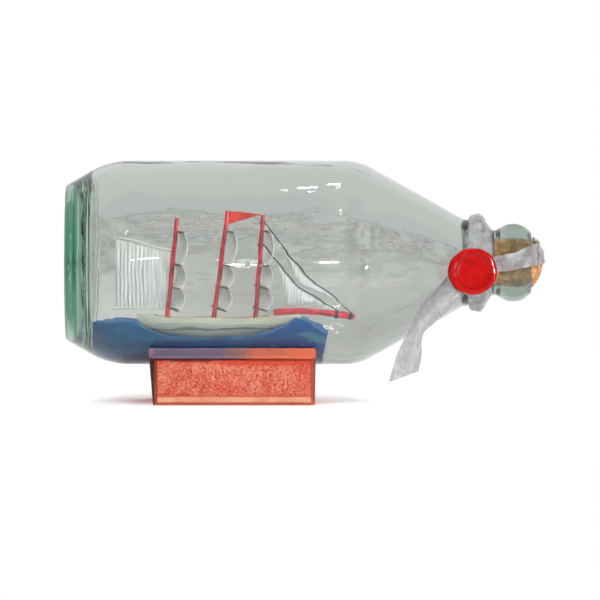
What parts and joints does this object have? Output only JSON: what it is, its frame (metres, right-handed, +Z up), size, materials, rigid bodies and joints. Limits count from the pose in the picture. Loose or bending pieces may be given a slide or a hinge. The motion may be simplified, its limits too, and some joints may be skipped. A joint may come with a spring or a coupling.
{
  "type": "ship in a bottle",
  "caption": "Square-rigged model ship on a blue sea inside a corked glass bottle that lies on a hollow plastic cradle, with a ribboned wax seal on the neck.",
  "frame": {"origin": "middle of the bounding box's underside, on the surface that the cradle stands on", "axes": "+X along the bottle's axis towards its mouth, +Z up, -Y to the side that carries the wax seal"},
  "size_m": [0.1796, 0.0764, 0.0904],
  "materials": {
    "red_plastic": "translucent moulded, pebbled panels",
    "glass": "clear, faintly green, wavy",
    "cork": "raw cork",
    "ribbon": "thin satin ribbon",
    "wax": "glossy wax",
    "putty": "brushed putty",
    "hull_paint": "painted wood",
    "deck_wood": "thin veneer",
    "red_paint": "painted wood",
    "red_paper": "paper",
    "wire": "bent wire",
    "thread": "twisted thread",
    "spar_wood": "dark stick",
    "sailcloth": "stiff paper"
  },
  "bodies": {
    "stand": {"cradle": "red_plastic"},
    "bottle": {"bottle": "glass", "bowsprit": "red_paint", "deck": "deck_wood", "fore_course_foot_yard": "spar_wood", "fore_course_sail": "sailcloth", "fore_course_yard": "spar_wood", "fore_mast": "red_paint", "fore_staple": "wire", "fore_topgallant_sail": "sailcloth", "fore_topgallant_yard": "spar_wood", "fore_topsail_sail": "sailcloth", "fore_topsail_yard": "spar_wood", "hull": "hull_paint", "inner_jib": "sailcloth", "inner_stay": "thread", "inner_stay_foot_lashing": "thread", "inner_stay_head_lashing": "thread", "main_course_foot_yard": "spar_wood", "main_course_sail": "sailcloth", "main_course_yard": "spar_wood", "main_mast": "red_paint", "main_staple": "wire", "main_topgallant_sail": "sailcloth", "main_topgallant_yard": "spar_wood", "main_topsail_sail": "sailcloth", "main_topsail_yard": "spar_wood", "mizzen_course_foot_yard": "spar_wood", "mizzen_course_sail": "sailcloth", "mizzen_course_yard": "spar_wood", "mizzen_mast": "red_paint", "mizzen_staple": "wire", "mizzen_topgallant_sail": "sailcloth", "mizzen_topgallant_yard": "spar_wood", "mizzen_topsail_sail": "sailcloth", "mizzen_topsail_yard": "spar_wood", "outer_jib": "sailcloth", "outer_stay": "thread", "outer_stay_foot_lashing": "thread", "outer_stay_head_lashing": "thread", "pennant": "red_paper", "ribbon_band": "ribbon", "ribbon_tail": "ribbon", "sea": "putty", "spanker": "sailcloth", "spanker_boom": "spar_wood", "spanker_gaff": "spar_wood", "wax_seal": "wax"},
    "cork": {"cork": "cork", "ribbon_strap": "ribbon"}
  },
  "joints": [
    {"name": "bottle_lift", "type": "slide", "parent": "stand", "child": "bottle", "axis": [0, 0, 1], "range_m": [0, 0.05]},
    {"name": "cork_pull", "type": "slide", "parent": "bottle", "child": "cork", "axis": [1, 0, 0], "range_m": [0, 0.03]}
  ]
}
